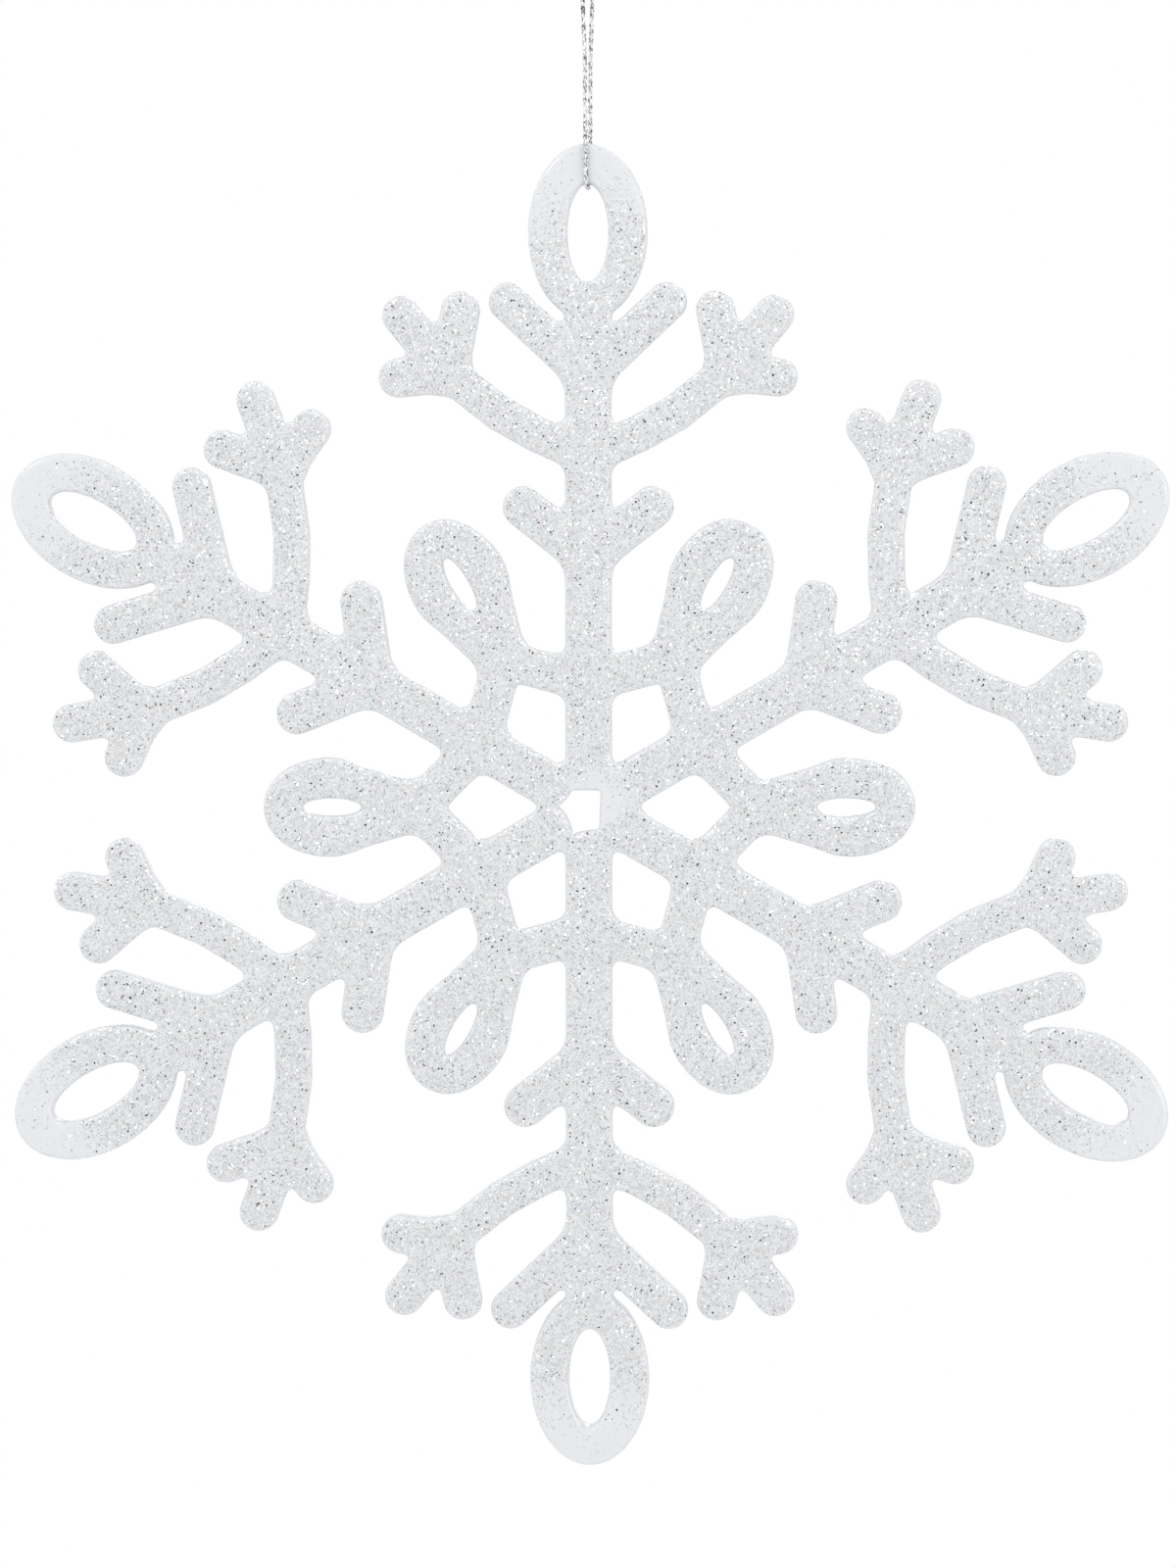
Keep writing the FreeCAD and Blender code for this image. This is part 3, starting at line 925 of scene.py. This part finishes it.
def carried_frames(line):
    """At each point of a line, its direction and two directions square to it that never twist."""
    before, after = [line[0]] + line[:-2] + [line[-2]], line[1:] + [line[-1]]
    ahead = [(b - a).normalized() for a, b in zip(before, after)]
    square = ahead[0].orthogonal().normalized()
    result = []
    for direction in ahead:
        square = (square - direction * square.dot(direction)).normalized()
        result.append((direction, square, direction.cross(square)))
    return result


def braid(line):
    """Points, faces and UV corners of four braided strands that follow a line."""
    points, faces, corners = [], [], []
    frames = carried_frames(line)
    along = [0.0]
    for a, b in zip(line, line[1:]):
        along.append(along[-1] + (b - a).length)
    for strand in range(STRANDS):
        way, start, first = 1 - 2 * (strand // 2), math.pi * (strand % 2), len(points)
        for place, s, (_, side, up) in zip(line, along, frames):
            angle = way * math.tau * s / LAY + start
            out = side * math.cos(angle) + up * math.sin(angle)
            round_it = up * math.cos(angle) - side * math.sin(angle)
            swing = way * STRAND_SWING * math.cos(2 * math.tau * s / LAY)
            middle = place + out * (STRAND_MIDDLE + swing)
            for k in range(STRAND_SIDES):
                turn = math.tau * k / STRAND_SIDES
                thick, wide = STRAND_THICK * math.cos(turn), STRAND_WIDE * math.sin(turn)
                points.append(middle + out * thick + round_it * wide)
        for i in range(len(line) - 1):
            ring = first + i * STRAND_SIDES
            v, next_v = along[i] / LAY, along[i + 1] / LAY
            for k in range(STRAND_SIDES):
                a, b = ring + k, ring + (k + 1) % STRAND_SIDES
                c, d = b + STRAND_SIDES, a + STRAND_SIDES
                u, next_u = k / STRAND_SIDES, (k + 1) / STRAND_SIDES
                faces.append((a, b, c, d))
                corners.append({a: (u, v), b: (next_u, v), c: (next_u, next_v), d: (u, next_v)})
        for ring in (first, len(points) - STRAND_SIDES):
            faces.append(tuple(range(ring, ring + STRAND_SIDES)))
            corners.append({k: (0.5, 0.5) for k in faces[-1]})
    return points, faces, corners


def yarn_piece(name, lines):
    """One piece of braided cord along one or more lines."""
    points, faces, corners = [], [], []
    for line in lines:
        more_points, more_faces, more_corners = braid(line)
        shift = len(points)
        points += more_points
        faces += [tuple(k + shift for k in face) for face in more_faces]
        corners += [{k + shift: place for k, place in face.items()} for face in more_corners]
    piece = new_piece(name, points, faces, YARN)
    layer = piece.data.uv_layers.new(name="strand")
    for face, places in zip(piece.data.polygons, corners):
        for loop in face.loop_indices:
            layer.data[loop].uv = places[piece.data.loops[loop].vertex_index]
    return piece


# %% [markdown]
# ## The knot
# Above the place where a hook goes, the cord's two ends are tied together: two and a half turns round
# both, and the cut tails stand up out of it. The knot stays with the hook, and the cord runs between
# the knot and the saddle in the eye.

# %% Knot and cord
TURNS = 2.5
COIL_POINTS_PER_TURN = 14
COIL_RADIUS = 1.68 * MM
COIL_LOW, COIL_HIGH = 0.75 * MM, 3.6 * MM
COIL_TUCK = 0.45  # how far in its two ends are tucked, as a share of the radius
TAIL = [(-0.55, 0.0, -0.5), (-0.56, 0.0, 2.0), (-0.58, 0.1, 4.6), (-1.5, 0.4, 8.4), (-2.9, 0.0, 12.6)]
OTHER_TAIL = [(0.56, 0.0, -0.5), (0.55, 0.0, 2.0), (0.6, -0.1, 4.8), (1.3, -0.3, 8.0), (2.8, 0.1, 11.9)]


def coil_points():
    """The knot's turns, which start and end between the two tails."""
    steps = round(TURNS * COIL_POINTS_PER_TURN)
    points = []
    for k in range(steps + 1):
        share = k / steps
        angle = math.tau * TURNS * share
        radius = COIL_RADIUS * (COIL_TUCK if k in (0, steps) else 1.0)
        height = COIL_LOW + (COIL_HIGH - COIL_LOW) * share
        points.append(Vector((radius * math.sin(angle), -radius * math.cos(angle), height)))
    return points


def followed(route, name):
    """The smooth line of a route, ready for the braid."""
    return evenly(spline_points(route, name), CORD_STEP)


tails = [followed([Vector(p) * MM for p in tail], "tail") for tail in (TAIL, OTHER_TAIL)]
knot = yarn_piece("hanging_knot", [followed(coil_points(), "coil")] + tails)
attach(knot, "hanger")
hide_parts("cord_knot", "cord_tails")

cord = yarn_piece("hanging_cord", [CORD_LINE])
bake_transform(cord)
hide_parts("cord_left_leg", "cord_right_leg", "cord_saddle")

# %% [markdown]
# ## The studio
# The star hangs in front of plain white, in the even light of a product table. The flakes need
# something to reflect, so the surroundings that they see are white with softer grey areas, and three
# broad lamps make them sparkle: two in front and one behind.

# %% Floor, surroundings and lamps
FLOOR_DROP = 1.5
FLOOR_RADIUS = 6.0
FLOOR_SIDES = 96


def pale_floor():
    """A wide matt floor, far below the star."""
    material, tree, shader = new_material("pale_floor")
    shader.inputs["Base Color"].default_value = colour("F2F2F2")
    shader.inputs["Roughness"].default_value = 0.9
    height = moulding_low.z - FLOOR_DROP
    angles = [math.tau * k / FLOOR_SIDES for k in range(FLOOR_SIDES)]
    ring = [(FLOOR_RADIUS * math.cos(a), FLOOR_RADIUS * math.sin(a), height) for a in angles]
    floor = new_piece("floor", ring, [range(FLOOR_SIDES)], material, smooth=False)


def surroundings():
    """White with grey areas for the flakes to mirror, and plain white for the camera."""
    world = bpy.data.worlds.new("studio")
    bpy.context.scene.world = world
    world.use_nodes = True
    tree = world.node_tree
    tree.nodes.clear()
    way = add_node(tree, "ShaderNodeTexCoord").outputs["Generated"]
    patches = add_node(tree, "ShaderNodeTexNoise", Vector=way, Scale=3.2, Detail=1.0)
    tones = add_node(tree, "ShaderNodeValToRGB", Fac=patches.outputs[0])
    low, high = tones.color_ramp.elements
    low.position, low.color = 0.34, colour("7C7E82")
    high.position, high.color = 0.42, colour("FFFFFF")
    studio = add_node(tree, "ShaderNodeBackground", Color=tones.outputs["Color"], Strength=1.05)
    plain = add_node(tree, "ShaderNodeBackground", Color=colour("FFFFFF"), Strength=1.0)
    seen = add_node(tree, "ShaderNodeLightPath").outputs["Is Camera Ray"]
    both = add_node(tree, "ShaderNodeMixShader", Fac=seen, _1=studio.outputs[0], _2=plain.outputs[0])
    add_node(tree, "ShaderNodeOutputWorld", Surface=both.outputs[0])


def soft_lamp(name, place, size, power):
    """A round lamp that faces the star, placed in metres from its middle."""
    lamp = bpy.data.lights.new(name, "AREA")
    lamp.shape = "DISK"
    lamp.size = size
    lamp.energy = power
    holder = bpy.data.objects.new(name, lamp)
    holder.location = CENTRE + Vector(place)
    holder.rotation_euler = (CENTRE - holder.location).to_track_quat("-Z", "Y").to_euler()
    holder.visible_camera = False
    bpy.context.scene.collection.objects.link(holder)


pale_floor()
surroundings()
soft_lamp("key_lamp", (-0.9, -1.3, 1.0), 0.35, 4.6)
soft_lamp("fill_lamp", (1.1, -1.2, 0.2), 0.35, 2.8)
soft_lamp("back_lamp", (0.3, 1.5, 0.8), 0.5, 5.0)
bpy.context.scene.view_settings.view_transform = "Standard"
